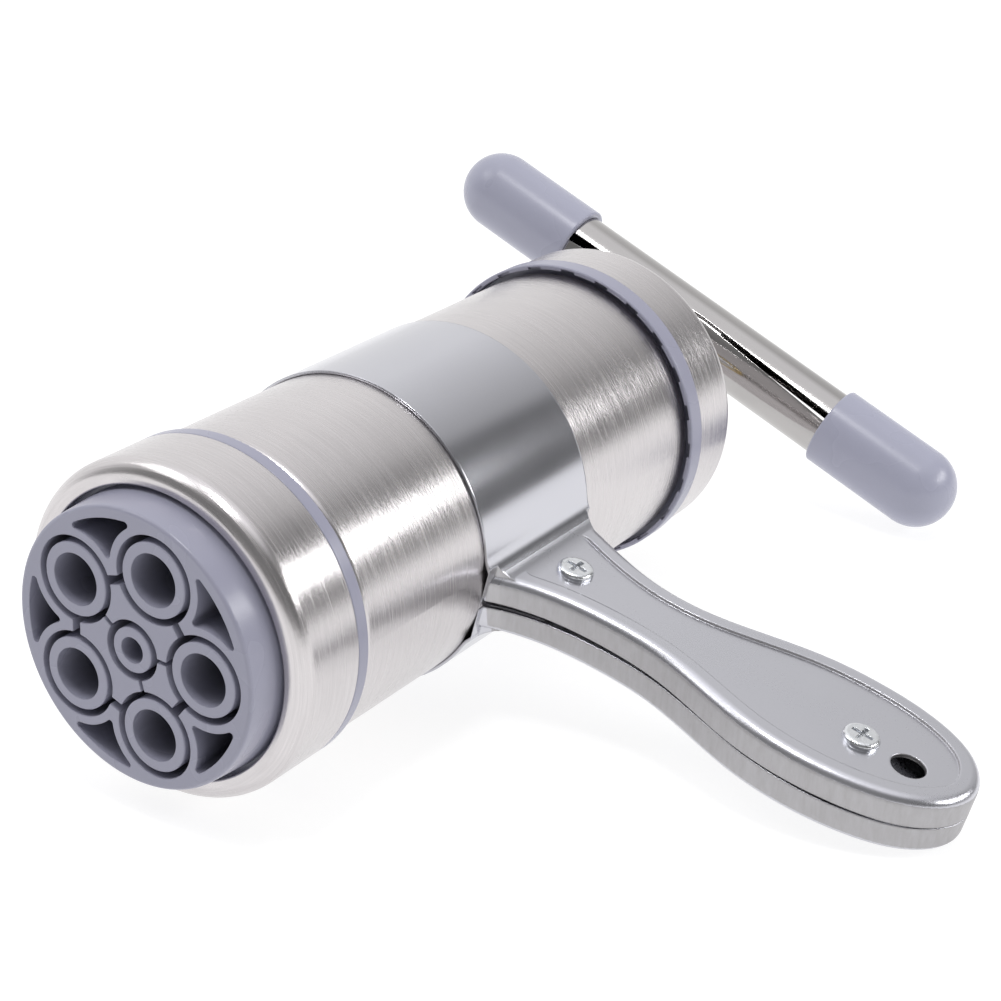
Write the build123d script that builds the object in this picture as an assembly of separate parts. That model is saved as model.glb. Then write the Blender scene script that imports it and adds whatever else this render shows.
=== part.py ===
"""Hand screw press, lying on its side: steel barrel, five-nozzle die, side handle and T-handle.

The barrel's axis is Y and the die faces -Y, with the origin at the centre of the die's face. The side
handle reaches to +X and hangs down until its end meets the surface that the two caps lie on. Turned
pieces are drawn as (radius, y) outlines. Handle pieces are drawn flat and then swung down about Y.
"""
import math
import os

from build123d import *

# Driving dimensions, in millimetres and degrees.
DIE_FACE_R = 28.8
DIE_LENGTH = 13.3
DIE_CORE_DEPTH = 10.0
NOZZLE_COUNT = 5
NOZZLE_PITCH_R = 17.4
NOZZLE_FIRST_ANGLE = 11.9
NOZZLE_R = 7.6
NOZZLE_BORE_R = 5.4
CHANNEL_R = 9.0
CENTRE_R = 4.7
CENTRE_BORE_R = 2.7
CENTRE_CHANNEL_R = 6.25

CAP_R = 35.0
CAP_LIP_Y = 7.4
CAP_MOUTH_R = 30.3
CAP_SLEEVE_END = 24.0
CAP_END = 27.3
STEEL = 0.8

THREAD_ROOT_R = 30.9
CAP_THREAD_R = 31.5
SHELL_R = 33.8
SHELL_FRONT = 27.8
SHELL_REAR = 150.5
BORE_R = 28.0
BORE_FRONT = 15.0
BORE_REAR = 163.0

REAR_RING_R = 36.0
REAR_RING_FRONT = 148.5
REAR_SLEEVE_R = 35.4
REAR_SLEEVE_FRONT = 153.05
REAR_END = 168.6
NOTCH_COUNT = 24

SPINDLE_R = 5.0
SPINDLE_PLAY = 0.06
NUT_REAR = 170.2

PISTON_FRONT = 53.5
PISTON_R = 27.4
SEAL_R = 27.7

TEE_Y = 217.0
TEE_SWING = 21.3
TEE_R = 8.75
TEE_INNER_R = 7.75
TEE_SLOT_TURN = 36.6
GRIP_R = 10.3
GRIP_MOUTH = 41.8
GRIP_DOME = 68.6
BAR_HALF_LENGTH = 65.0

HANDLE_SWING = 13.0
STRAP_FRONT = 67.5
STRAP_REAR = 105.7
STRAP_R = 34.5
SHEET = 0.6
HANDLE_SHEET = 0.9
HANDLE_TOP = 6.6
PANEL_SINK = 0.6
BLEND_R = 8.0
BLEND_INSET = 1.2
PANEL_INSET = 4.6
HANDLE_SCREWS = [(43.4, 86.8), (112.3, 87.0)]
SCREW_HEAD_R = 3.9
HANG_HOLE = (123.0, 87.4)
HANG_HOLE_R = 3.7

# Edge of the flat handle seen from above: front root, round the tip, back root.
HANDLE_EDGE = [
    (33.0, 68.2), (40.4, 72.6), (48.0, 75.2), (60.0, 76.9), (70.0, 76.8), (82.0, 74.2), (94.0, 71.2),
    (108.0, 70.7), (120.0, 73.2), (130.0, 78.5), (136.4, 89.5), (132.5, 100.6), (122.0, 106.7),
    (108.0, 108.4), (94.0, 106.8), (80.0, 102.3), (68.0, 98.9), (57.0, 98.7), (46.0, 101.4),
    (34.6, 105.6),
]

NOZZLE_ANGLES = [NOZZLE_FIRST_ANGLE + index * 360 / NOZZLE_COUNT for index in range(NOZZLE_COUNT)]
PANEL_TOP = HANDLE_TOP - PANEL_SINK
STRAP_MIDDLE = (STRAP_FRONT + STRAP_REAR) / 2


def turned(*outline):
    """Turn a closed (radius, y) outline about the barrel's axis."""
    face = make_face(Polyline(*outline, close=True))
    return revolve(face, axis=Axis.Y)


def ring(inner_r, outer_r, front, rear):
    return turned((inner_r, front), (outer_r, front), (outer_r, rear), (inner_r, rear))


def rims(solid, radius, y):
    """The round edges of a turned solid that have this radius and lie at this y."""
    return [
        edge
        for edge in solid.edges().filter_by(GeomType.CIRCLE)
        if abs(edge.radius - radius) < 0.01 and abs(edge.arc_center.Y - y) < 0.01
    ]


def along_barrel(sketch, front, rear):
    """Extrude a sketch drawn in (x, z) from one y to another."""
    return extrude(Plane.XZ.offset(-front) * sketch, amount=front - rear)


def at_angle(angle, radius=0.0):
    return Rot(0, 0, angle) * Pos(radius, 0)


def swung(solid):
    return Rot(0, HANDLE_SWING, 0) * solid


# --- Front cap and die -------------------------------------------------------------------------

def die_pockets():
    """Rounded triangles left between two nozzles' walls and the rim."""
    rim_wall = 2.4
    nozzle_wall = 1.7
    pockets = Circle(DIE_FACE_R - rim_wall) - Circle(16.4)
    for angle in NOZZLE_ANGLES:
        pockets -= at_angle(angle, NOZZLE_PITCH_R) * Circle(CHANNEL_R + nozzle_wall)
    return fillet(pockets.vertices(), 0.7)


def die_slots():
    """Gaps between neighbouring channels, and slits from three channels to the centre one."""
    between_r = NOZZLE_PITCH_R * math.cos(math.pi / NOZZLE_COUNT)
    slots = Sketch()
    for angle in NOZZLE_ANGLES:
        slots += at_angle(angle + 180 / NOZZLE_COUNT, between_r) * Rectangle(1.9, 4.2)
    for angle in (NOZZLE_ANGLES[0], NOZZLE_ANGLES[2], NOZZLE_ANGLES[4]):
        slots += at_angle(angle, 7.3) * Rectangle(3.2, 0.9)
    return slots


def nozzle_die():
    """One moulding: flanged cup, five nozzle tubes in ring channels, centre tube and star posts."""
    body = turned(
        (0, 0), (DIE_FACE_R, 0), (DIE_FACE_R + 0.7, 10.3), (31.1, 10.3), (31.1, DIE_LENGTH), (0, DIE_LENGTH)
    )
    body = fillet(rims(body, DIE_FACE_R, 0), 0.8)
    cores = die_pockets() + die_slots() + Circle(CENTRE_CHANNEL_R)
    tubes = Sketch() + Circle(CENTRE_R)
    bores = Sketch() + Circle(CENTRE_BORE_R)
    for angle in NOZZLE_ANGLES:
        cores += at_angle(angle, NOZZLE_PITCH_R) * Circle(CHANNEL_R)
        tubes += at_angle(angle, NOZZLE_PITCH_R) * Circle(NOZZLE_R)
        bores += at_angle(angle, NOZZLE_PITCH_R) * Circle(NOZZLE_BORE_R)
    tube_stock = along_barrel(tubes, 0, DIE_CORE_DEPTH + 0.5)
    tube_rims = [edge for edge in tube_stock.edges() if abs(edge.center().Y) < 0.01]
    body -= along_barrel(cores, 0, DIE_CORE_DEPTH)
    body += fillet(tube_rims, 0.25)
    body -= along_barrel(bores, 0, DIE_LENGTH)
    return swung(body)


def die_gasket():
    return ring(28.3, 30.7, DIE_LENGTH + 0.1, BORE_FRONT - 0.1)


def front_cap_sleeve():
    """Drawn steel cup with a rounded lip round the die."""
    cup = turned(
        (CAP_MOUTH_R, CAP_LIP_Y), (CAP_R, CAP_LIP_Y), (CAP_R, CAP_SLEEVE_END),
        (CAP_R - STEEL, CAP_SLEEVE_END), (CAP_R - STEEL, CAP_LIP_Y + STEEL), (CAP_MOUTH_R, CAP_LIP_Y + STEEL),
    )
    cup = fillet(rims(cup, CAP_R, CAP_LIP_Y), 3.6)
    cup = fillet(rims(cup, CAP_R - STEEL, CAP_LIP_Y + STEEL), 2.8)
    return fillet(rims(cup, CAP_MOUTH_R, CAP_LIP_Y), 0.35)


def front_cap_insert():
    """Moulded ring inside the sleeve, with the thread's bore and a flange that shows behind it."""
    front = CAP_LIP_Y + STEEL + 0.05
    outer = CAP_R - STEEL - 0.05
    seat = front + 2.0
    insert = turned(
        (30.5, front), (outer - 3.0, front), (outer, front + 3.0), (outer, CAP_SLEEVE_END + 0.05),
        (CAP_R, CAP_SLEEVE_END + 0.05), (CAP_R, CAP_END), (CAP_THREAD_R, CAP_END),
        (CAP_THREAD_R, seat), (30.5, seat),
    )
    insert = fillet(rims(insert, CAP_R, CAP_END), 0.5)
    return fillet(rims(insert, CAP_R, CAP_SLEEVE_END + 0.05), 0.4)


# --- Barrel ------------------------------------------------------------------------------------

def barrel_shell():
    """Outer steel tube whose two ends are rolled inwards over the collars."""
    inner = SHELL_R - STEEL
    neck = THREAD_ROOT_R + 0.3
    shell = turned(
        (neck, SHELL_FRONT), (SHELL_R, SHELL_FRONT), (SHELL_R, SHELL_REAR), (neck, SHELL_REAR),
        (neck, SHELL_REAR - STEEL), (inner, SHELL_REAR - STEEL),
        (inner, SHELL_FRONT + STEEL), (neck, SHELL_FRONT + STEEL),
    )
    outer_rims = rims(shell, SHELL_R, SHELL_FRONT) + rims(shell, SHELL_R, SHELL_REAR)
    shell = fillet(outer_rims, 1.7)
    inner_rims = rims(shell, inner, SHELL_FRONT + STEEL) + rims(shell, inner, SHELL_REAR - STEEL)
    return fillet(inner_rims, 0.9)


def barrel_liner():
    return ring(BORE_R, BORE_R + STEEL, BORE_FRONT, BORE_REAR)


def collar(neck_end, shoulder, plug_end):
    """Plastic collar between liner and shell: a threaded neck outside, a plug inside the shell."""
    bore = BORE_R + STEEL + 0.05
    plug = SHELL_R - STEEL - 0.05
    slope = 1.0 if plug_end > shoulder else -1.0
    return turned(
        (bore, neck_end), (THREAD_ROOT_R, neck_end), (THREAD_ROOT_R, shoulder),
        (plug - 1.0, shoulder), (plug, shoulder + slope), (plug, plug_end), (bore, plug_end),
    )


def front_collar():
    return collar(BORE_FRONT, SHELL_FRONT + STEEL + 0.1, 42.0)


def rear_collar():
    return collar(BORE_REAR, SHELL_REAR - STEEL - 0.1, 137.0)


# --- Rear cap and nut --------------------------------------------------------------------------

def rear_gasket():
    return ring(28.3, 30.7, BORE_REAR + 0.1, BORE_REAR + 1.6)


def rear_cap_sleeve():
    """Drawn steel cup over the rear insert, open at its centre for the nut."""
    inner = REAR_SLEEVE_R - STEEL
    cup = turned(
        (7.4, REAR_END), (REAR_SLEEVE_R, REAR_END), (REAR_SLEEVE_R, REAR_SLEEVE_FRONT),
        (inner, REAR_SLEEVE_FRONT), (inner, REAR_END - STEEL), (7.4, REAR_END - STEEL),
    )
    cup = fillet(rims(cup, REAR_SLEEVE_R, REAR_END), 2.6)
    return fillet(rims(cup, inner, REAR_END - STEEL), 1.8)


def rear_cap_insert():
    """Moulded cap: notched ring round the shell, thread's bore, end wall and nut boss."""
    outer = REAR_SLEEVE_R - STEEL - 0.05
    wall_rear = REAR_END - STEEL - 0.1
    wall_front = BORE_REAR + 1.7
    insert = turned(
        (34.9, REAR_RING_FRONT), (REAR_RING_R, REAR_RING_FRONT), (REAR_RING_R, 153.0), (outer, 153.0),
        (outer, wall_rear - 2.0), (outer - 2.0, wall_rear), (7.1, wall_rear), (7.1, 166.6), (8.3, 166.6),
        (8.3, 158.0), (11.5, 158.0), (11.5, wall_front), (CAP_THREAD_R, wall_front),
        (CAP_THREAD_R, 152.0), (34.9, 152.0),
    )
    insert = fillet(rims(insert, REAR_RING_R, REAR_RING_FRONT), 0.5)
    for index in range(NOTCH_COUNT):
        tool = Pos(35.1, REAR_RING_FRONT) * Box(0.7, 2.2, 3.6)
        insert -= Rot(0, index * 360 / NOTCH_COUNT, 0) * tool
    return insert


def spindle_nut():
    """Flanged brass nut; its flange bears on the insert when the screw pushes the piston."""
    bore = SPINDLE_R + SPINDLE_PLAY
    nut = turned((bore, 158.5), (8.2, 158.5), (8.2, 166.5), (7.0, 166.5), (7.0, NUT_REAR), (bore, NUT_REAR))
    return chamfer(rims(nut, 7.0, NUT_REAR), 0.6)


# --- Piston and spindle ------------------------------------------------------------------------

def piston_disc():
    """Disc with a seal groove, a counterbore for the screw and a hub round the spindle's end."""
    front = PISTON_FRONT
    return turned(
        (7.5, front), (PISTON_R - 0.8, front), (PISTON_R, front + 0.8), (PISTON_R, front + 1.6),
        (25.6, front + 1.6), (25.6, front + 4.4), (PISTON_R, front + 4.4), (PISTON_R, front + 6),
        (14, front + 6.5), (9, front + 9), (9, front + 16), (5.3, front + 16), (5.3, front + 8.5),
        (3.55, front + 8.5), (3.55, front + 3), (7.5, front + 3),
    )


def piston_seal():
    seal = ring(25.7, SEAL_R, PISTON_FRONT + 1.8, PISTON_FRONT + 4.2)
    return fillet(rims(seal, SEAL_R, PISTON_FRONT + 1.8) + rims(seal, SEAL_R, PISTON_FRONT + 4.2), 0.8)


def piston_washer():
    return ring(2.15, 6.5, PISTON_FRONT + 1.9, PISTON_FRONT + 2.9)


def piston_screw():
    """Pan-head screw in the spindle's front end."""
    head = PISTON_FRONT + 0.1
    screw = turned(
        (0, head), (2.6, head), (3.8, head + 0.8), (3.8, head + 1.75), (2.0, head + 1.75),
        (2.0, head + 12), (0, head + 12),
    )
    recess = along_barrel(Rectangle(4.2, 0.9) + Rectangle(0.9, 4.2), head, head + 1.0)
    return screw - recess


def spindle():
    """Screw: journal and tapped hole at the piston end, pinned into the hub at the other."""
    journal_front = PISTON_FRONT + 2.95
    shoulder = PISTON_FRONT + 8.6
    shaft = turned(
        (0, PISTON_FRONT + 14), (2.05, PISTON_FRONT + 13.5), (2.05, journal_front), (3.5, journal_front),
        (3.5, shoulder), (SPINDLE_R, shoulder), (SPINDLE_R, TEE_Y + 5), (0, TEE_Y + 5),
    )
    return shaft - on_tee(Cylinder(1.27, 24))


# --- T-handle ----------------------------------------------------------------------------------

def on_tee(solid):
    """Place a solid drawn with the bars along X and the slot's normal along Z."""
    return Pos(0, TEE_Y, 0) * Rot(0, TEE_SWING, 0) * Rot(-TEE_SLOT_TURN, 0, 0) * solid


def tee_bar(middle, end, side):
    """Half-round bar: the part of a tube beyond a slot edge that runs from middle to end height."""
    half = BAR_HALF_LENGTH
    tube = extrude(Plane.YZ.offset(-half) * (Circle(TEE_R) - Circle(TEE_INNER_R)), amount=2 * half)
    beyond = make_face(Polyline((-half, end), (0, middle), (half, end), (half, side), (-half, side), close=True))
    bar = tube & extrude(Plane.XZ * beyond, amount=12, both=True)
    bar -= Cylinder(1.27, 24)
    return on_tee(bar) - along_barrel(Circle(SPINDLE_R + 0.35), TEE_Y - 12, TEE_Y)


def tee_upper_bar():
    return tee_bar(2.84, 0.45, 12)


def tee_lower_bar():
    return tee_bar(2.0, -2.8, -12)


def tee_hub():
    """Plug inside the two bars that takes the spindle's end."""
    hub = Rot(0, 90, 0) * Cylinder(TEE_INNER_R - 0.1, 13)
    hub -= Cylinder(1.27, 24)
    return on_tee(hub) - along_barrel(Circle(SPINDLE_R + 0.02), TEE_Y - 12, TEE_Y + 5.05)


def tee_pin():
    return on_tee(Cylinder(1.25, 2 * TEE_R - 0.2))


def tee_grip(side):
    """Moulded capsule pushed over the ends of both bars."""
    length = GRIP_DOME - GRIP_MOUTH
    grip = Pos(GRIP_MOUTH + length / 2, 0, 0) * Rot(0, 90, 0) * Cylinder(GRIP_R, length)
    grip += Pos(GRIP_DOME, 0, 0) * Sphere(GRIP_R)
    bore_end = BAR_HALF_LENGTH + 0.5
    bore = Rot(0, 90, 0) * Cylinder(TEE_R + 0.1, bore_end - GRIP_MOUTH)
    grip -= Pos((GRIP_MOUTH + bore_end) / 2, 0, 0) * bore
    mouth = [
        edge
        for edge in grip.edges().filter_by(GeomType.CIRCLE)
        if abs(edge.radius - GRIP_R) < 0.01 and abs(edge.arc_center.X - GRIP_MOUTH) < 0.01
    ]
    grip = fillet(mouth, 0.5)
    return on_tee(Rot(0, 0, 0 if side > 0 else 180) * grip)


# --- Side handle -------------------------------------------------------------------------------

def handle_plan(inset=0.0):
    """The flat handle from above, run on into the strap, with its edge moved in by the inset."""
    edge = Spline(*HANDLE_EDGE)
    steps = 3 * len(HANDLE_EDGE)
    stations = [step / steps for step in range(steps + 1)]
    inward = [Vector(-(edge % t).Y, (edge % t).X) * inset for t in stations]
    edge = Spline(*[edge @ t + shift for t, shift in zip(stations, inward)])
    front = edge @ 0
    rear = edge @ 1
    root = Polyline((rear.X, rear.Y), (22.0, rear.Y), (22.0, front.Y), (front.X, front.Y))
    return make_face(edge + root)


def handle_section(strap_r, top, blend):
    """Section across the barrel's axis: half the strap, blended into the flat top."""
    section = Circle(strap_r) & (Pos(0, 50) * Rectangle(200, 100))
    section += Pos(85, top / 2) * Rectangle(130, top)
    corner = section.vertices().sort_by_distance(Vector(math.sqrt(strap_r**2 - top**2), top, 0))[0]
    return fillet(corner, blend)


def handle_flat(top, inset):
    return extrude(handle_plan(inset), amount=top)


def handle_root(strap_r, top, blend, inset, strap_plan):
    """The strap and the hollow blend that joins it to the flat handle."""
    section = along_barrel(handle_section(strap_r, top, blend), STRAP_FRONT - 15, STRAP_REAR + 15)
    blend_plan = handle_plan(inset) & (Pos(30, STRAP_MIDDLE) * Rectangle(30, 80))
    return section & extrude(blend_plan + strap_plan, amount=50)


def handle_panel(inset, depth):
    """Stock for the sunken panel, from its depth below the rim up past the rim."""
    panel = handle_plan(inset) & (Pos(92 - inset, STRAP_MIDDLE) * Rectangle(104, 60))
    panel = fillet(panel.vertices().group_by(Axis.X)[0], 3.0)
    return extrude(Pos(0, 0, HANDLE_TOP - depth) * panel, amount=PANEL_SINK + 0.1)


def handle_half():
    """Pressed steel half: half strap, root, rim, sunken panel and skirt, above the seam."""
    flat = handle_flat(HANDLE_TOP, 0)
    half = fillet(flat.faces().sort_by(Axis.Z)[-1].edges(), 2.2)
    half -= handle_flat(HANDLE_TOP - HANDLE_SHEET, HANDLE_SHEET)
    half += handle_panel(PANEL_INSET - 0.4, PANEL_SINK + HANDLE_SHEET)
    half -= handle_panel(PANEL_INSET, PANEL_SINK)
    strap_plan = Pos(-3, STRAP_MIDDLE) * Rectangle(73.8, STRAP_REAR - STRAP_FRONT)
    half += handle_root(STRAP_R, PANEL_TOP, BLEND_R, BLEND_INSET, strap_plan)
    hollow_plan = Pos(-3.1, STRAP_MIDDLE) * Rectangle(73.8, STRAP_REAR - STRAP_FRONT + 20)
    hollow_inset = BLEND_INSET + HANDLE_SHEET
    half -= handle_root(
        STRAP_R - SHEET, PANEL_TOP - HANDLE_SHEET, BLEND_R + HANDLE_SHEET, hollow_inset, hollow_plan
    )
    for x, y in HANDLE_SCREWS:
        half -= Pos(x, y, PANEL_TOP) * Cylinder(2.15, 6)
    half -= Pos(*HANG_HOLE, PANEL_TOP) * Cylinder(HANG_HOLE_R, 6)
    return half - seam()


def seam():
    """What is cut away so that the halves part by a gap that is widest beside the barrel."""
    half_gap = Polyline(
        (-60, -1), (-60, 0.25), (30, 0.25), (33, 0.8), (88, 0.12), (114, 0.3), (137, 0.12), (150, 0.12),
        (150, -1), close=True,
    )
    return along_barrel(make_face(half_gap), STRAP_FRONT - 20, STRAP_REAR + 20)


def handle_screw(x, y):
    """Pan-head screw with a cross recess, through both halves."""
    head = Pos(0, 0, 0.7) * Cylinder(SCREW_HEAD_R, 1.4)
    head = fillet(head.edges().filter_by(GeomType.CIRCLE).sort_by(Axis.Z)[-1], 0.9)
    head -= Pos(0, 0, 1.1) * (Box(4.6, 0.95, 1.2) + Box(0.95, 4.6, 1.2))
    shank = Pos(0, 0, -7.4) * Cylinder(2.0, 14.8)
    return Pos(x, y, PANEL_TOP) * (head + shank)


def handle_nut(x, y):
    nut = extrude(RegularPolygon(3.5, 6, major_radius=False), amount=3.2) - Cylinder(2.05, 20)
    return Pos(x, y, -PANEL_TOP - 3.2) * nut


def handle_spacer(x, y):
    spacer = Cylinder(3.5, 2 * (PANEL_TOP - HANDLE_SHEET) - 0.2) - Cylinder(2.15, 20)
    return Pos(x, y, 0) * spacer


def grouped(make_piece):
    return swung(Compound(children=[make_piece(x, y) for x, y in HANDLE_SCREWS]))


def all_pieces():
    half = handle_half()
    return {
        "nozzle_die": nozzle_die(),
        "die_gasket": die_gasket(),
        "front_cap_sleeve": front_cap_sleeve(),
        "front_cap_insert": front_cap_insert(),
        "barrel_shell": barrel_shell(),
        "barrel_liner": barrel_liner(),
        "front_collar": front_collar(),
        "rear_collar": rear_collar(),
        "rear_gasket": rear_gasket(),
        "rear_cap_sleeve": rear_cap_sleeve(),
        "rear_cap_insert": rear_cap_insert(),
        "spindle_nut": spindle_nut(),
        "piston_disc": piston_disc(),
        "piston_seal": piston_seal(),
        "piston_washer": piston_washer(),
        "piston_screw": piston_screw(),
        "spindle": spindle(),
        "tee_hub": tee_hub(),
        "tee_pin": tee_pin(),
        "tee_upper_bar": tee_upper_bar(),
        "tee_lower_bar": tee_lower_bar(),
        "tee_grip_a": tee_grip(1),
        "tee_grip_b": tee_grip(-1),
        "handle_upper_half": swung(half),
        "handle_lower_half": swung(mirror(half, about=Plane.XY)),
        "handle_screws": grouped(handle_screw),
        "handle_nuts": grouped(handle_nut),
        "handle_spacers": grouped(handle_spacer),
    }


os.makedirs("parts", exist_ok=True)
for node, shape in all_pieces().items():
    export_step(shape, f"parts/{node}.step")
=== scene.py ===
import math

import bmesh
import bpy
from mathutils import Matrix, Vector


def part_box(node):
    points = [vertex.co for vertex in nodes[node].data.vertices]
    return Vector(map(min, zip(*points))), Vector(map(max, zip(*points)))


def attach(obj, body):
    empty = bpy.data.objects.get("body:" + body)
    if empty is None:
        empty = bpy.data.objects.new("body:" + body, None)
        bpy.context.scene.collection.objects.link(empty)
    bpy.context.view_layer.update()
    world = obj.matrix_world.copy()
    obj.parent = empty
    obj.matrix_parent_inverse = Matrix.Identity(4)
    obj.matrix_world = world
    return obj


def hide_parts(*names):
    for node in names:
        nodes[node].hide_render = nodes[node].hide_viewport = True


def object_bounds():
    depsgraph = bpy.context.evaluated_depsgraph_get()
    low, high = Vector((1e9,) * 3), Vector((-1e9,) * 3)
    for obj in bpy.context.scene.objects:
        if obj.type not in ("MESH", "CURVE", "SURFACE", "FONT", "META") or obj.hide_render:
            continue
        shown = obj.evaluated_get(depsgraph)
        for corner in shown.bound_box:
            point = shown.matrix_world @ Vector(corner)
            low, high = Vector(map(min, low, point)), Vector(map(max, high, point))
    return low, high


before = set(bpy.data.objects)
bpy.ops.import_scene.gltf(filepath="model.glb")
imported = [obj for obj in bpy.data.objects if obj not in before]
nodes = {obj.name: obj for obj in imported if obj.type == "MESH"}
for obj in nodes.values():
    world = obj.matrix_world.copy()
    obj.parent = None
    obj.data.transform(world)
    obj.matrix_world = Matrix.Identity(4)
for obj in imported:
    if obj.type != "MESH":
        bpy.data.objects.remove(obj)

cad_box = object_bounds()

# --- Studio: table, tent and camera ------------------------------------------------------------
# The press lies on a white table inside a light tent. The left side and the roof of the tent glow,
# its right side is dark, and a long low panel there draws the bright line along the steel.

TABLE_DROP = 0.0002
TABLE_RADIUS = 12.0
TABLE_GLOW = 0.82
TABLE_CLOUDS = (3.0,) * 3
TABLE_DULL = (0.28,) * 3
TABLE_WHITE = (0.30,) * 3
TABLE_ROUGHNESS = 0.8
TABLE_UNEVENNESS = 0.1
table_z = cad_box[0].z - TABLE_DROP

bpy.ops.mesh.primitive_circle_add(
    vertices=96, radius=TABLE_RADIUS, fill_type="NGON", location=(0, 0, table_z)
)
table = bpy.context.object
table.name = "table_top"


class Link:
    """An output socket that adds Math nodes to its tree when it is used in an expression."""

    def __init__(self, tree, socket):
        self.tree = tree
        self.socket = socket

    def math(self, operation, left, right=0.0):
        return self.tree.node("ShaderNodeMath", {"operation": operation}, {0: left, 1: right})

    def __add__(self, other):
        return self.math("ADD", self, other)

    def __sub__(self, other):
        return self.math("SUBTRACT", self, other)

    def __rsub__(self, other):
        return self.math("SUBTRACT", other, self)

    def __mul__(self, other):
        return self.math("MULTIPLY", self, other)

    def __gt__(self, other):
        return self.math("GREATER_THAN", self, other)

    def __lt__(self, other):
        return self.math("LESS_THAN", self, other)

    def __abs__(self):
        return self.math("ABSOLUTE", self)

    __radd__ = __add__
    __rmul__ = __mul__


class Nodes:
    """A node tree and the one method that adds a node to it."""

    def __init__(self, tree):
        self.tree = tree

    def node(self, kind, settings=None, inputs=None, output=0):
        made = self.tree.nodes.new(kind)
        for name, value in (settings or {}).items():
            if name == "stops":
                self.set_stops(made.color_ramp, value)
            else:
                setattr(made, name, value)
        self.feed(made, inputs or {})
        return Link(self, made.outputs[output])

    def set_stops(self, ramp, stops):
        """Set a ramp's stops, each a place and a grey level."""
        while len(ramp.elements) < len(stops):
            ramp.elements.new(1.0)
        for element, (place, grey) in zip(ramp.elements, stops):
            element.position = place
            element.color = (grey, grey, grey, 1.0)

    def feed(self, made, inputs):
        for name, value in inputs.items():
            if isinstance(value, Link):
                self.tree.links.new(value.socket, made.inputs[name])
            else:
                made.inputs[name].default_value = value

    def blend(self, factor, first, second):
        """Mix two colours."""
        mix = self.tree.nodes.new("ShaderNodeMix")
        mix.data_type = "RGBA"
        for name, value in (("Factor_Float", factor), ("A_Color", first), ("B_Color", second)):
            socket = next(s for s in mix.inputs if s.identifier == name)
            if isinstance(value, Link):
                self.tree.links.new(value.socket, socket)
            else:
                socket.default_value = value if name == "Factor_Float" else (*value, 1.0)
        return Link(self, next(s for s in mix.outputs if s.identifier == "Result_Color"))


class Finish(Nodes):
    """A Principled material: constants go on the shader, varying values are fed to it."""

    def __init__(self, name, **constants):
        self.material = bpy.data.materials.new(name)
        self.material.use_nodes = True
        super().__init__(self.material.node_tree)
        self.shader = self.tree.nodes["Principled BSDF"]
        for socket, value in constants.items():
            self.shader.inputs[socket.replace("_", " ")].default_value = value
        self.place = self.node("ShaderNodeTexCoord", output=3)

    def noise(self, grains, detail=3.0, rough=0.55):
        """Noise with this many grains to the metre along X, Y and Z."""
        settings = {"vector_type": "POINT"}
        at = self.node("ShaderNodeMapping", settings, {"Vector": self.place, "Scale": grains})
        values = {"Vector": at, "Scale": 1.0, "Detail": detail, "Roughness": rough}
        return self.node("ShaderNodeTexNoise", {}, values)

    def surface(self, colour, roughness, height, depth=0.0, edge=0.0):
        """Feed the shader. Height is a 0 to 1 relief of this depth, and edge the radius of its edges."""
        self.feed(self.shader, {"Base Color": colour, "Roughness": roughness})
        rounded = self.node("ShaderNodeBevel", {"samples": 6}, {"Radius": edge})
        relief = {"Height": height, "Distance": depth, "Strength": 1.0, "Normal": rounded}
        self.feed(self.shader, {"Normal": self.node("ShaderNodeBump", {}, relief)})
        return self.material

    def axis(self, name):
        return self.node("ShaderNodeSeparateXYZ", {}, {"Vector": self.place}, output="XYZ".index(name))


def wear(node, material):
    """Give a frame node this one material."""
    mesh = nodes[node].data
    mesh.materials.clear()
    mesh.materials.append(material)


table_finish = Finish("table_white", Specular_IOR_Level=0.1)
haze = table_finish.noise(TABLE_CLOUDS, detail=1.0)
table_tone = table_finish.blend(haze, TABLE_DULL, TABLE_WHITE)
table_finish.surface(table_tone, haze * TABLE_UNEVENNESS + TABLE_ROUGHNESS, haze)
table_finish.shader.inputs["Emission Color"].default_value = (1.0, 1.0, 1.0, 1.0)
table_finish.shader.inputs["Emission Strength"].default_value = TABLE_GLOW
table.data.materials.append(table_finish.material)

TENT_LEFT_TO_RIGHT = [(0.0, 1.0), (0.3, 0.98), (0.66, 0.5), (0.70, 0.17), (1.0, 0.15)]
TENT_ROOF_STARTS = [(0.70, 0.0), (0.90, 1.0)]
TENT_DOOR_ENDS = [(0.18, 1.0), (0.44, 0.0)]
ROOF_GLOW = (1.1, 1.1, 1.12)
DOOR_SHADE = (0.24,) * 3

world = bpy.context.scene.world or bpy.data.worlds.new("tent")
bpy.context.scene.world = world
world.use_nodes = True
tent = Nodes(world.node_tree)
toward = tent.node("ShaderNodeTexCoord", output=0)
across = tent.node("ShaderNodeSeparateXYZ", {}, {"Vector": toward}, output=0)
sides = tent.node("ShaderNodeValToRGB", {"stops": TENT_LEFT_TO_RIGHT}, {"Fac": across * 0.5 + 0.5})
rise = tent.node("ShaderNodeSeparateXYZ", {}, {"Vector": toward}, output=2)
roof = tent.node("ShaderNodeValToRGB", {"stops": TENT_ROOF_STARTS}, {"Fac": rise})
ahead = tent.node("ShaderNodeSeparateXYZ", {}, {"Vector": toward}, output=1)
door = tent.node("ShaderNodeValToRGB", {"stops": TENT_DOOR_ENDS}, {"Fac": ahead * 0.5 + 0.5})
glow = tent.blend(door, tent.blend(roof, sides, ROOF_GLOW), DOOR_SHADE)
tent.feed(world.node_tree.nodes["Background"], {"Color": glow, "Strength": 1.0})

middle = (cad_box[0] + cad_box[1]) / 2


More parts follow.
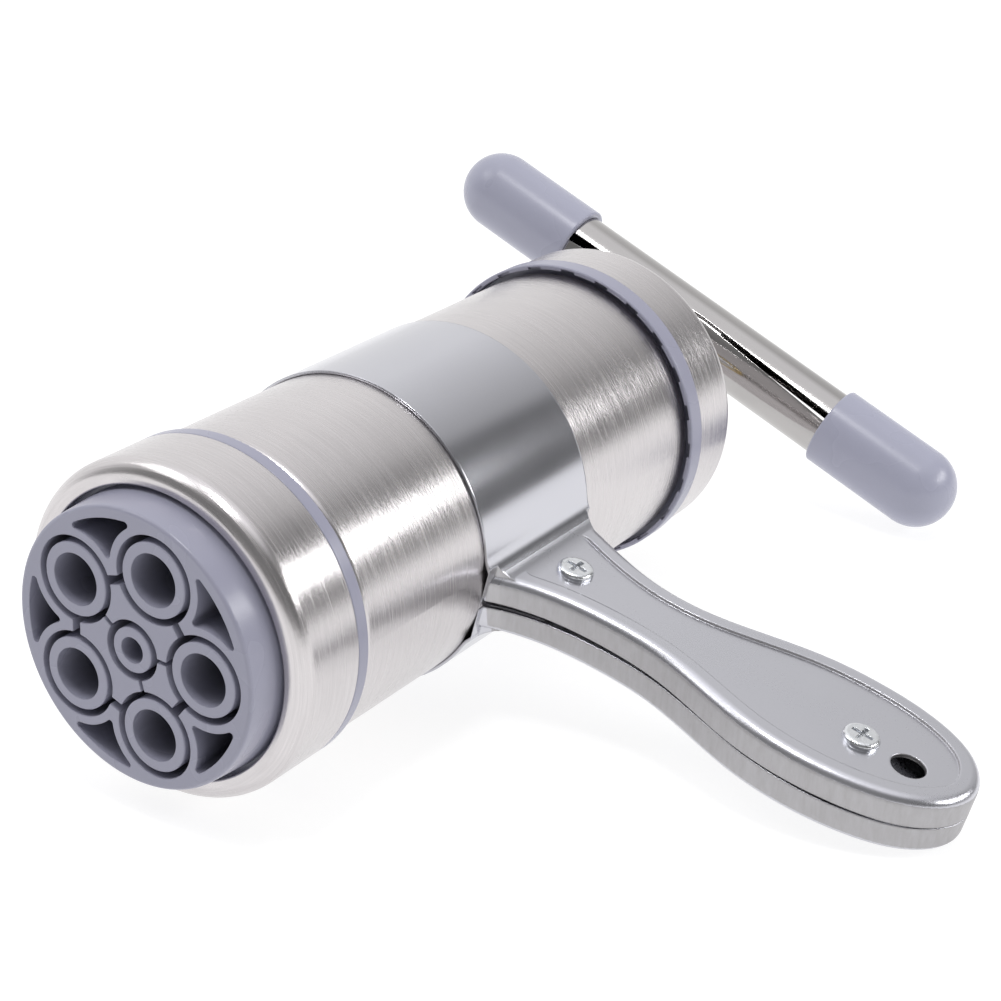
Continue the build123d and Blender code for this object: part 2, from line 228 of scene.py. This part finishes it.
def soft_panel(name, azimuth, elevation, distance, size, watts):
    """A flat soft lamp that faces the middle of the press."""
    lamp = bpy.data.lights.new(name, "AREA")
    lamp.shape = "RECTANGLE"
    lamp.size, lamp.size_y = size
    lamp.energy = watts
    panel = bpy.data.objects.new(name, lamp)
    bpy.context.scene.collection.objects.link(panel)
    around, lift = math.radians(azimuth), math.radians(elevation)
    out = Vector((math.sin(around) * math.cos(lift), -math.cos(around) * math.cos(lift), math.sin(lift)))
    panel.location = middle + out * distance
    panel.rotation_mode = "QUATERNION"
    panel.rotation_quaternion = (-out).to_track_quat("-Z", "Y")


soft_panel("right_panel", azimuth=116, elevation=25.5, distance=1.2, size=(0.8, 0.25), watts=5.2)
soft_panel("left_panel", azimuth=-55, elevation=50, distance=1.3, size=(0.6, 0.5), watts=2.5)
soft_panel("top_panel", azimuth=12, elevation=77, distance=1.2, size=(0.2, 0.24), watts=3.6)

CAMERA_PLACE = Vector((0.2583, -0.2756, 0.2079))
CAMERA_AZIMUTH = 32.84
CAMERA_DROP = 25.01
CAMERA_ROLL = 2.71
CAMERA_LENS = 81.6
CAMERA_SENSOR = 36.0
NEAREST_SEEN = 0.01

camera = bpy.data.objects.new("camera", bpy.data.cameras.new("camera"))
bpy.context.scene.collection.objects.link(camera)
turn, drop = math.radians(CAMERA_AZIMUTH), math.radians(CAMERA_DROP)
sight = Vector((-math.sin(turn) * math.cos(drop), math.cos(turn) * math.cos(drop), -math.sin(drop)))
level = sight.to_track_quat("-Z", "Y").to_matrix()
roll = Matrix.Rotation(math.radians(CAMERA_ROLL), 3, "Z")
camera.rotation_mode = "QUATERNION"
camera.rotation_quaternion = (level @ roll).to_quaternion()
camera.location = CAMERA_PLACE
camera.data.sensor_width = CAMERA_SENSOR
camera.data.lens = CAMERA_LENS
camera.data.clip_start = NEAREST_SEEN
bpy.context.scene.camera = camera
bpy.context.scene.view_settings.view_transform = "Standard"

# --- Nozzle die --------------------------------------------------------------------------------
# One acetal moulding: five nozzle tubes, each in its own ring channel, round a small centre tube.
# It drops into the front cap and shows faint flow marks and a light polish where it is washed.

GREY_PLASTIC = (0.325, 0.325, 0.41)
SATIN_GLOSS = 0.27
FLOW_MARKS = (28.0,) * 3
MOULD_GRAIN = (2600.0,) * 3
WASHING_SMEARS = (45.0, 70.0, 45.0)
SMEAR_SPREAD = 0.06
MOULD_RELIEF = 0.00003
MOULDED_EDGE = 0.0003
# Painted shade: inside this radius round the axis the die's colour darkens with depth behind its face,
# standing in for the shadow in its channels and bores.
PAINTED_SHADE_RADIUS = 0.0284
PAINTED_SHADE_START = 0.0006
PAINTED_SHADE_FLOOR = 0.009
PAINTED_SHADE_STRENGTH = 0.8
PAINTED_SHADE_TINT = 0.3


def shaded(colour, share):
    """The same hue at a share of its brightness."""
    return tuple(share * part for part in colour)


def moulded_plastic(name, colour, gloss, painted_shade_radius=0.0):
    """Satin plastic. Inside a given radius round the barrel's axis, painted shade darkens it away from the
    die's face, standing in for the shadow deep in the die's channels and bores.
    """
    finish = Finish(name, IOR=1.48)
    flow = finish.noise(FLOW_MARKS, detail=2.0)
    grain = finish.noise(MOULD_GRAIN, detail=2.0)
    smear = finish.noise(WASHING_SMEARS, detail=2.0)
    tone = finish.blend(flow, shaded(colour, 0.96), shaded(colour, 1.04))
    # Painted shade: deep inside the radius the colour darkens, standing in for shadow in the channels and
    # bores.
    if painted_shade_radius:
        flat = {0: finish.place, 1: (1.0, 0.0, 1.0)}
        outward = finish.node("ShaderNodeVectorMath", {"operation": "MULTIPLY"}, flat)
        radius = finish.node("ShaderNodeVectorMath", {"operation": "LENGTH"}, {0: outward}, output=1)
        inward = {"Value": finish.axis("Y"), "From Min": PAINTED_SHADE_START, "From Max": PAINTED_SHADE_FLOOR}
        shade = finish.node("ShaderNodeMapRange", {}, {**inward, "To Min": 0.0, "To Max": PAINTED_SHADE_STRENGTH})
        tone = finish.blend((radius < painted_shade_radius) * shade, tone, shaded(colour, PAINTED_SHADE_TINT))
    relief = grain * 0.6 + flow * 0.4
    roughness = smear * SMEAR_SPREAD + (gloss - SMEAR_SPREAD / 2)
    return finish.surface(tone, roughness, relief, MOULD_RELIEF, MOULDED_EDGE)


# The die's material carries painted shade in its channels and bores.
wear("nozzle_die", moulded_plastic("die_plastic_painted_shade", GREY_PLASTIC, SATIN_GLOSS, PAINTED_SHADE_RADIUS))

# --- Seals -------------------------------------------------------------------------------------
# Flat rings punched from soft grey rubber sheet, one under each cap, and the piston's moulded lip
# ring. They are matt and lie loose in their seats.

SEAL_GREY = (0.22, 0.225, 0.24)
seal_rubber = moulded_plastic("seal_rubber", SEAL_GREY, gloss=0.6)
for seal in ("die_gasket", "rear_gasket", "piston_seal"):
    wear(seal, seal_rubber)

# --- Front cap ---------------------------------------------------------------------------------
# A deep-drawn steel sleeve pressed over a moulded ring. The sleeve is brushed in a lathe, so its
# scratches run round the barrel's axis, and the ring's flange shows behind it.

SLEEVE_STEEL = (0.665, 0.638, 0.645)
FINE_SCRATCHES = (60.0, 4200.0, 60.0)
COARSE_SCRATCHES = (34.0, 1900.0, 34.0)
SHEEN_CLOUDS = (22.0,) * 3
SCRATCH_SHADE = 0.74
SCRATCH_GLINT = 1.18
SCRATCH_ROUGHNESS = 0.26
CLOUD_ROUGHNESS = 0.08
MEAN_ROUGHNESS = 0.15
ROLLED_EDGE = 0.0003


def brushed_steel(name, colour, gloss, depth=0.000012):
    """Metal with scratches of this depth round the barrel's axis."""
    finish = Finish(name, Metallic=1.0)
    fine = finish.noise(FINE_SCRATCHES, rough=0.7)
    coarse = finish.noise(COARSE_SCRATCHES, detail=4.0, rough=0.75)
    cloud = finish.noise(SHEEN_CLOUDS)
    lines = fine * 0.7 + coarse * 0.4 - 0.2
    dark, light = shaded(colour, SCRATCH_SHADE), shaded(colour, SCRATCH_GLINT)
    tone = finish.blend(lines + cloud * 0.3, dark, light)
    roughness = coarse * SCRATCH_ROUGHNESS + cloud * CLOUD_ROUGHNESS + (gloss - MEAN_ROUGHNESS)
    return finish.surface(tone, roughness, fine * 0.75 + coarse * 0.25, depth, ROLLED_EDGE)


sleeve_steel = brushed_steel("sleeve_steel", SLEEVE_STEEL, gloss=0.23, depth=0.000045)
grey_plastic = moulded_plastic("grey_plastic", GREY_PLASTIC, SATIN_GLOSS)
wear("front_cap_sleeve", sleeve_steel)
wear("front_cap_insert", grey_plastic)

# --- Barrel ------------------------------------------------------------------------------------
# Two steel tubes, one in the other, joined at each end by a plastic collar under the rolled edge
# of the outer tube. Each collar's neck carries the coarse thread that its cap screws onto.

WHITE_PLASTIC = (0.70, 0.70, 0.68)
BARE_STEEL = (0.62, 0.62, 0.62)
white_plastic = moulded_plastic("white_plastic", WHITE_PLASTIC, gloss=0.42)
smooth_steel = brushed_steel("smooth_steel", BARE_STEEL, gloss=0.26, depth=0.000006)
wear("barrel_shell", sleeve_steel)
wear("barrel_liner", smooth_steel)
for collar in ("front_collar", "rear_collar"):
    wear(collar, white_plastic)

CAP_LEAD = 0.003
NECK_ROOT = 0.0309
NECK_CREST = 0.03125
NECK_WALL = 0.0004
NECK_END_GAP = 0.0006
SHELL_GAP = 0.0004
THREAD_TOP = 2.2
THREAD_FLANK = 6.4
ROWS_PER_TURN = 10
SHARP_EDGE = math.radians(35)


def add_piece(name, shape, material, body):
    """Turn a bmesh into a smooth-shaded piece that rides on a body."""
    mesh = bpy.data.meshes.new(name)
    shape.to_mesh(mesh)
    shape.free()
    mesh.materials.append(material)
    mesh.shade_smooth()
    mesh.set_sharp_from_angle(angle=SHARP_EDGE)
    piece = bpy.data.objects.new(name, mesh)
    bpy.context.scene.collection.objects.link(piece)
    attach(piece, body)
    return piece


def thread_height(phase):
    """Trapezoid thread form: 0 at the root and 1 at the crest."""
    return min(max(THREAD_TOP - abs((phase % 1.0) - 0.5) * THREAD_FLANK, 0.0), 1.0)


def circle(shape, radius_at, y, around):
    """A closed ring of vertices round the barrel's axis."""
    ring = []
    for step in range(around):
        angle = math.tau * step / around
        radius = radius_at(step / around)
        ring.append(shape.verts.new((radius * math.cos(angle), y, radius * math.sin(angle))))
    return ring


def threaded(inner, root, crest, front, rear, lead, around):
    """A sleeve, or a rod where inner is 0, with a right-hand thread that fades out at both ends."""
    shape = bmesh.new()
    rows = int((rear - front) / lead * ROWS_PER_TURN)
    rings = []
    for row in range(rows + 1):
        y = front + (rear - front) * row / rows
        height = (crest - root) * min(1.0, (y - front) / lead, (rear - y) / lead)
        rings.append(circle(shape, lambda part: root + height * thread_height(y / lead + part), y, around))
    if inner:
        rings.extend(circle(shape, lambda part: inner, y, around) for y in (rear, front))
        rings.append(rings[0])
    else:
        shape.faces.new(rings[0])
        shape.faces.new(rings[-1])
    for lower, upper in zip(rings, rings[1:]):
        for step in range(around):
            after = (step + 1) % around
            shape.faces.new((lower[step], lower[after], upper[after], upper[step]))
    bmesh.ops.recalc_face_normals(shape, faces=shape.faces)
    return shape


shell_low, shell_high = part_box("barrel_shell")
liner_low, liner_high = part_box("barrel_liner")
necks = {
    "front_neck_thread": (liner_low.y + NECK_END_GAP, shell_low.y - SHELL_GAP),
    "rear_neck_thread": (shell_high.y + SHELL_GAP, liner_high.y - NECK_END_GAP),
}
for name, (front, rear) in necks.items():
    neck = threaded(NECK_ROOT - NECK_WALL, NECK_ROOT, NECK_CREST, front, rear, CAP_LEAD, around=120)
    add_piece(name, neck, white_plastic, "barrel")

# --- Rear cap ----------------------------------------------------------------------------------
# The same drawn sleeve over a moulded cap, whose skirt has a row of notches that grip when wet.
# A flanged brass nut is moulded into its middle.

BRASS = (0.72, 0.55, 0.27)
wear("rear_cap_sleeve", sleeve_steel)
wear("rear_cap_insert", grey_plastic)
wear("spindle_nut", brushed_steel("nut_brass", BRASS, gloss=0.3))

# --- Spindle -----------------------------------------------------------------------------------
# A rolled steel screw whose coarse thread fades out at both ends. The T-handle turns it in the
# rear cap's nut, and its front end pushes the piston.

SCREW_LEAD = 0.004
SCREW_ROOT = 0.0041
spindle_low, spindle_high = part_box("spindle")
screw_crest = (spindle_high.x - spindle_low.x) / 2
screw = threaded(0.0, SCREW_ROOT, screw_crest, spindle_low.y, spindle_high.y, SCREW_LEAD, around=48)
spindle = add_piece("spindle_screw", screw, smooth_steel, "crank")
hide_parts("spindle")

# --- Piston ------------------------------------------------------------------------------------
# A white moulded disc with a groove for its lip ring. A steel washer and a screw in the spindle's
# end hold it, and it slides in the liner without turning.

wear("piston_disc", white_plastic)
wear("piston_washer", smooth_steel)

# --- T-handle ----------------------------------------------------------------------------------
# Two pressed half-round bars, polished bright, with moulded capsules pushed over their ends. The
# hub between them takes the spindle and a cross pin.

BAR_STEEL = (0.50, 0.485, 0.48)
GRIP_PLASTIC = (0.375, 0.38, 0.475)
POLISHING_SWIRLS = (260.0,) * 3
HANDLING_MARKS = (35.0,) * 3
HANDLING_SHADE = 0.9
SWIRL_ROUGHNESS = 0.10
SWIRL_MEAN = 0.04
SMALL_EDGE = 0.0002


def polished_steel(name, colour, gloss, depth=0.000012):
    """Bright metal with buffing marks of this depth."""
    finish = Finish(name, Metallic=1.0)
    swirl = finish.noise(POLISHING_SWIRLS, detail=5.0, rough=0.7)
    cloud = finish.noise(HANDLING_MARKS, detail=2.0)
    tone = finish.blend(cloud, shaded(colour, HANDLING_SHADE), colour)
    return finish.surface(tone, swirl * SWIRL_ROUGHNESS + (gloss - SWIRL_MEAN), swirl, depth, SMALL_EDGE)


polished = polished_steel("polished_steel", BAR_STEEL, gloss=0.1)
for bar in ("tee_upper_bar", "tee_lower_bar"):
    wear(bar, polished)
for fitting in ("tee_hub", "tee_pin"):
    wear(fitting, smooth_steel)
grip_plastic = moulded_plastic("grip_plastic", GRIP_PLASTIC, SATIN_GLOSS)
for grip in ("tee_grip_a", "tee_grip_b"):
    wear(grip, grip_plastic)

# --- Side handle -------------------------------------------------------------------------------
# Two satin steel pressings. Each is half of the strap round the barrel and half of the hollow
# handle. Their skirts are ground flat where they meet, which leaves them matt.

PRESSED_STEEL = (0.62, 0.62, 0.665)
GROUND_STEEL = (0.40, 0.388, 0.385)
HANDLE_SWING = math.radians(13.0)
HANDLE_UP = (math.sin(HANDLE_SWING), 0.0, math.cos(HANDLE_SWING))
SKIRT_TILT = 0.35
SKIRT_START = 0.0335
SATIN_START = 0.036
SHEET_GRAIN = (1900.0,) * 3
SHEET_CLOUDS = (30.0,) * 3
GRINDING_MARKS = (900.0, 900.0, 160.0)
SHEET_SHADE = 0.88
SHEET_ROUGHNESS = 0.13
SATIN_ROUGHNESS = 0.1
GROUND_ROUGHNESS = 0.15
SHEET_RELIEF = 0.000015
PRESSED_EDGE = 0.0006


def pressed_steel(name, colour):
    """Sheet steel: smooth round the barrel, satin on the handle and ground on the handle's skirts."""
    finish = Finish(name, Metallic=1.0)
    grain = finish.noise(SHEET_GRAIN, rough=0.7)
    cloud = finish.noise(SHEET_CLOUDS)
    grinding = finish.noise(GRINDING_MARKS, detail=4.0, rough=0.75)
    facing = {0: finish.node("ShaderNodeTexCoord", output=1), 1: HANDLE_UP}
    upness = finish.node("ShaderNodeVectorMath", {"operation": "DOT_PRODUCT"}, facing, output=1)
    skirt = (abs(upness) < SKIRT_TILT) * (finish.axis("X") > SKIRT_START)
    satin = finish.axis("X") > SATIN_START
    sheet = finish.blend(cloud * 0.6 + grain * 0.4, shaded(colour, SHEET_SHADE), colour)
    tone = finish.blend(skirt * (grinding * 0.5 + 0.4), sheet, GROUND_STEEL)
    sheet_roughness = cloud * 0.06 + grain * 0.04 + SHEET_ROUGHNESS
    roughness = sheet_roughness + satin * SATIN_ROUGHNESS + skirt * (grinding * 0.2 + GROUND_ROUGHNESS)
    relief = grain * 0.15 + skirt * grinding * 1.5
    return finish.surface(tone, roughness, relief, SHEET_RELIEF, PRESSED_EDGE)


pressing = pressed_steel("pressed_steel", PRESSED_STEEL)
for half in ("handle_upper_half", "handle_lower_half"):
    wear(half, pressing)

# --- Fasteners ---------------------------------------------------------------------------------
# Bright zinc-plated pan-head screws with cross recesses go down through both halves of the handle
# and the spacers between them, into hexagon nuts. One more holds the piston.

ZINC = (0.80, 0.815, 0.84)
plated = polished_steel("plated_fastener", ZINC, gloss=0.12, depth=0.0003)
for fastener in ("handle_screws", "handle_nuts", "handle_spacers", "piston_screw"):
    wear(fastener, plated)
